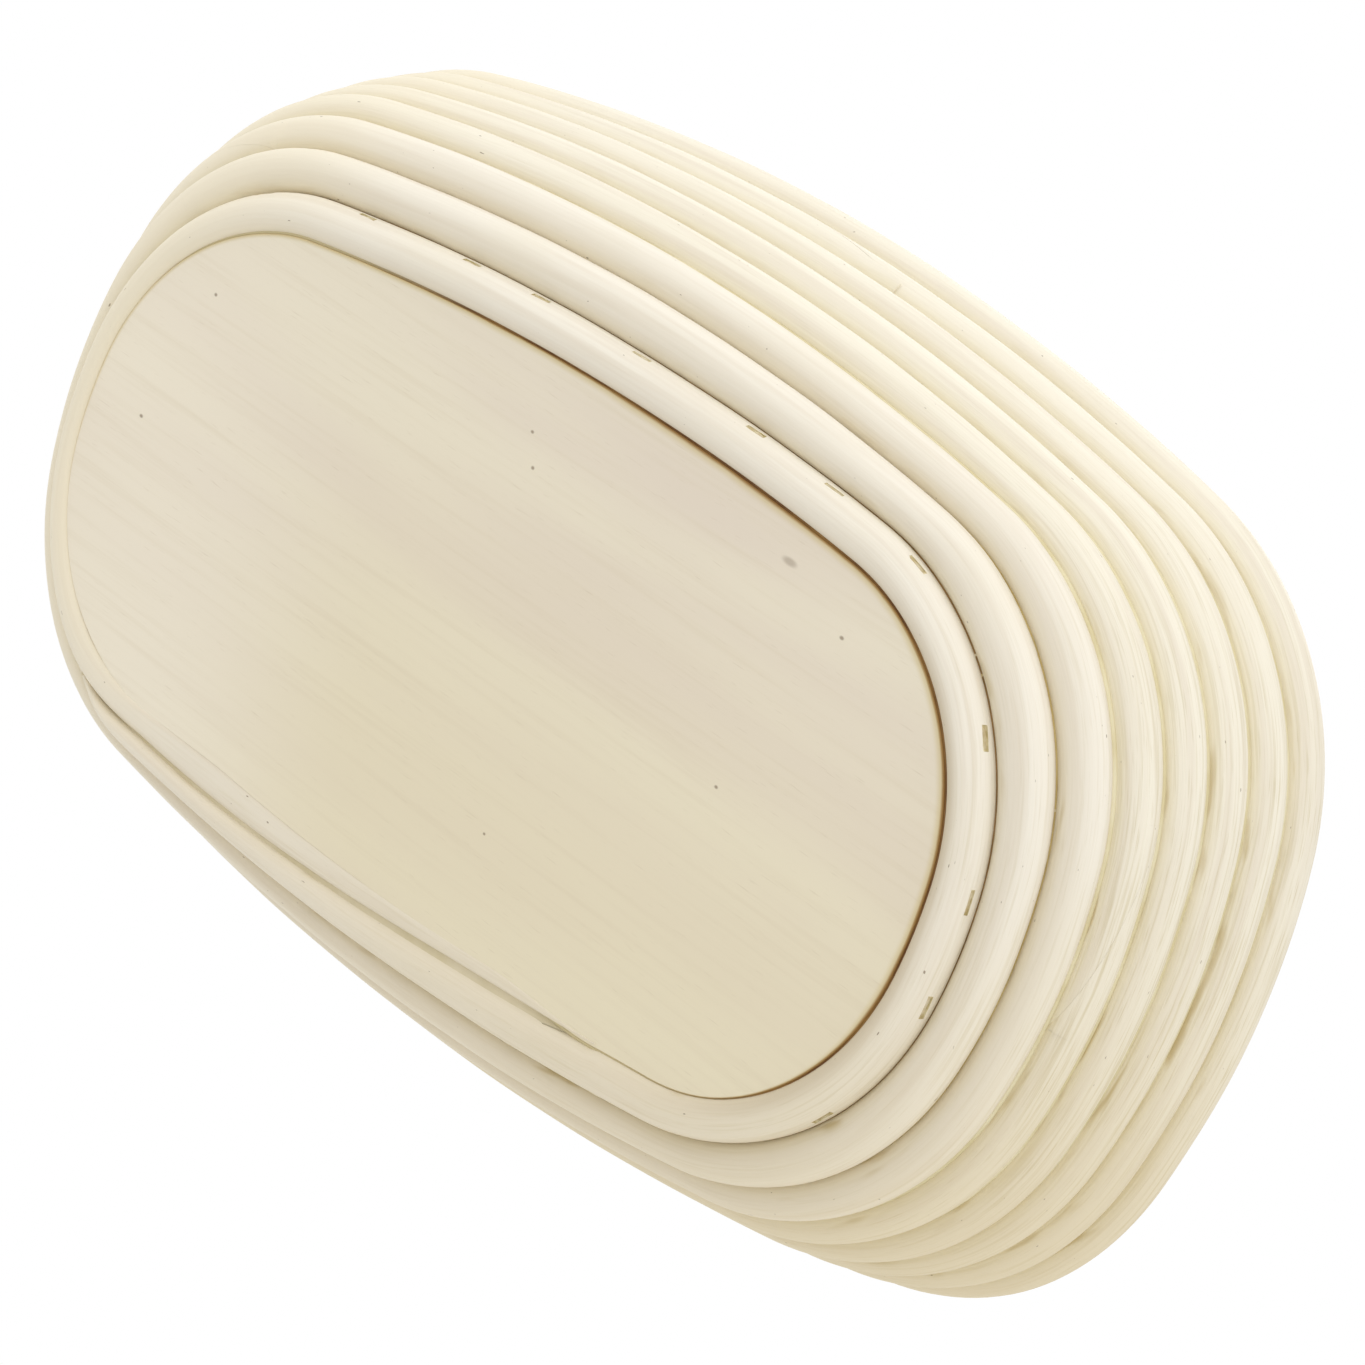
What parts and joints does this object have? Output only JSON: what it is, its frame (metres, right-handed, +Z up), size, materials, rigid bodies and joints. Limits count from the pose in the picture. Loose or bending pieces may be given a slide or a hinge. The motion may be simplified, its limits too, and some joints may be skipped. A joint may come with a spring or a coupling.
{
  "type": "proofing basket",
  "caption": "Oblong proofing basket with a flaring wall of stacked round cane hoops stapled around a flat plywood base, for shaping and raising bread dough.",
  "frame": {"origin": "middle of the plane that the basket stands on, which touches the foot of the lowest cane hoop", "axes": "+Z up out of the mouth, +X along the length of the basket, +Y across it"},
  "size_m": [0.3146, 0.1886, 0.0634],
  "materials": {
    "plywood": "sanded, bare",
    "cane": "peeled, bare, matt",
    "staple_steel": "galvanised, dull"
  },
  "bodies": {
    "root": {"base_board": "plywood", "cane_hoop_1": "cane", "cane_hoop_2": "cane", "cane_hoop_3": "cane", "cane_hoop_4": "cane", "cane_hoop_5": "cane", "cane_hoop_6": "cane", "cane_hoop_7": "cane", "cane_hoop_8": "cane", "board_staples": "staple_steel", "seam_staples_1": "staple_steel", "seam_staples_2": "staple_steel", "seam_staples_3": "staple_steel", "seam_staples_4": "staple_steel", "seam_staples_5": "staple_steel", "seam_staples_6": "staple_steel", "seam_staples_7": "staple_steel"}
  },
  "joints": []
}
